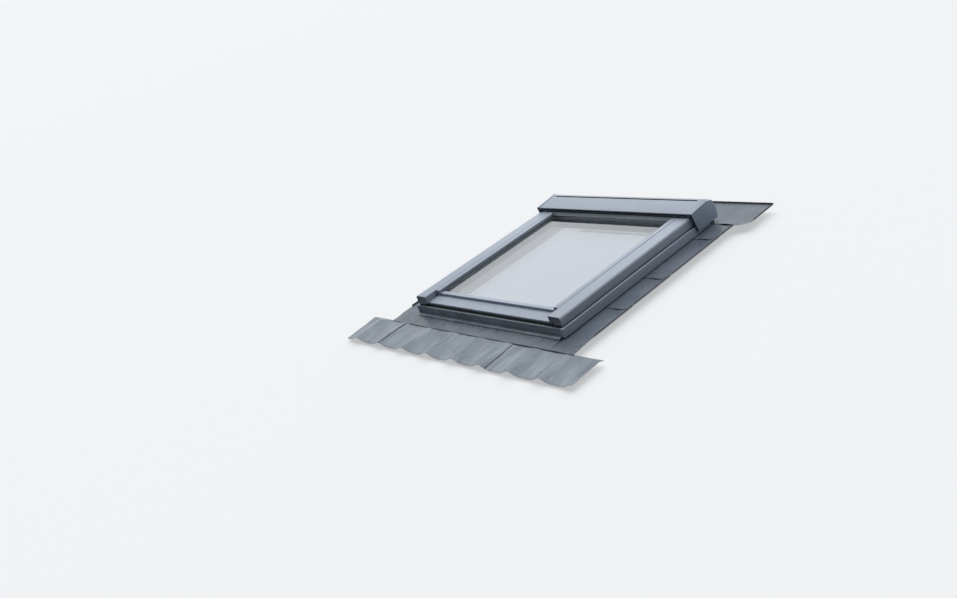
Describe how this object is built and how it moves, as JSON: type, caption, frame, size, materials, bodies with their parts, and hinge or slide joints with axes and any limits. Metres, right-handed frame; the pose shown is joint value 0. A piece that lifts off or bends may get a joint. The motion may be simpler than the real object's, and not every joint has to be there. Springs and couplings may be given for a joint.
{
  "type": "centre-pivot roof window",
  "caption": "Centre-pivot roof window with a glazed sash in a clad frame, its hood, apron, side flashings and back gutter, ready to set in a sloping roof.",
  "frame": {"origin": "middle of the whole in plan, at the height of the timber frame's underside", "axes": "+X across the roof, +Y up the slope, +Z out of the roof, square to the glass"},
  "size_m": [1.8, 1.72, 0.1895],
  "materials": {
    "white_timber": "white lacquered timber, satin",
    "cladding": "satin blue-grey lacquered aluminium sheet",
    "end_cap_plastic": "matt dark grey moulded plastic",
    "flashing": "matt dark grey coated aluminium flashing",
    "apron_sheet": "matt mid grey dressable sheet",
    "foam": "dark grey closed-cell foam",
    "black_rubber": "black rubber",
    "glass": "clear float glass",
    "spacer_metal": "bare aluminium spacer",
    "zinc_steel": "bright zinc-plated steel",
    "white_plastic": "white moulded plastic",
    "white_metal": "white powder-coated aluminium"
  },
  "bodies": {
    "frame": {"frame_bottom_rail": "white_timber", "frame_top_rail": "white_timber", "frame_jamb_left": "white_timber", "frame_jamb_right": "white_timber", "insulation_collar": "foam", "mounting_brackets": "zinc_steel", "bracket_screws": "zinc_steel", "side_cover_left": "cladding", "side_cover_right": "cladding", "side_cover_plug_left": "end_cap_plastic", "side_cover_plug_right": "end_cap_plastic", "lower_side_cover_left": "cladding", "lower_side_cover_right": "cladding", "front_cover": "cladding", "front_cover_screws": "zinc_steel", "hood": "cladding", "hood_end_cap_left": "end_cap_plastic", "hood_end_cap_right": "end_cap_plastic", "lower_frame_seal": "black_rubber", "upper_frame_seal": "black_rubber", "frame_pivot_left": "zinc_steel", "frame_pivot_right": "zinc_steel", "latch_keeper": "zinc_steel", "bolt_bush": "white_plastic", "apron_head": "flashing", "apron_left": "apron_sheet", "apron_middle": "apron_sheet", "apron_right": "apron_sheet", "side_flashing_1_left": "flashing", "side_flashing_1_right": "flashing", "side_flashing_2_left": "flashing", "side_flashing_2_right": "flashing", "side_flashing_3_left": "flashing", "side_flashing_3_right": "flashing", "back_gutter": "flashing"},
    "sash": {"sash_bottom_rail": "white_timber", "sash_top_rail": "white_timber", "sash_stile_left": "white_timber", "sash_stile_right": "white_timber", "inner_pane": "glass", "outer_pane": "glass", "pane_spacer": "spacer_metal", "glazing_tape": "black_rubber", "glazing_gasket": "black_rubber", "sash_side_cladding_left": "cladding", "sash_side_cladding_right": "cladding", "bottom_glazing_strip": "cladding", "sash_bottom_cover": "cladding", "sash_top_cover": "cladding", "sash_pivot_left": "zinc_steel", "sash_pivot_right": "zinc_steel", "handle_plate": "white_metal", "flap_bearings": "white_plastic", "bolt_box": "white_plastic"},
    "flap": {"ventilation_flap": "white_metal", "control_bar": "white_metal"},
    "handle": {"handle_lever": "white_metal"},
    "latch": {"latch_tongue": "zinc_steel"},
    "bolt": {"barrel_bolt": "zinc_steel"}
  },
  "joints": [
    {"name": "sash_turn", "type": "hinge", "parent": "frame", "child": "sash", "pos_m": [0, 0.042, 0.084], "axis": [-1, 0, 0], "range_deg": [0, 160]},
    {"name": "flap_turn", "type": "hinge", "parent": "sash", "child": "flap", "pos_m": [0, 0.538, 0.0357], "axis": [1, 0, 0], "range_deg": [0, 35]},
    {"name": "handle_turn", "type": "hinge", "parent": "sash", "child": "handle", "pos_m": [0, -0.433, 0.03], "axis": [0, 0, 1], "range_deg": [0, 90]},
    {"name": "latch_slide", "type": "slide", "parent": "sash", "child": "latch", "axis": [0, -1, 0], "range_m": [0, 0.012]},
    {"name": "bolt_slide", "type": "slide", "parent": "sash", "child": "bolt", "axis": [0, 1, 0], "range_m": [0, 0.015]}
  ],
  "couplings": [
    {"joint": "latch_slide", "follows": "handle_turn", "m_per_rad": 0.00763}
  ]
}
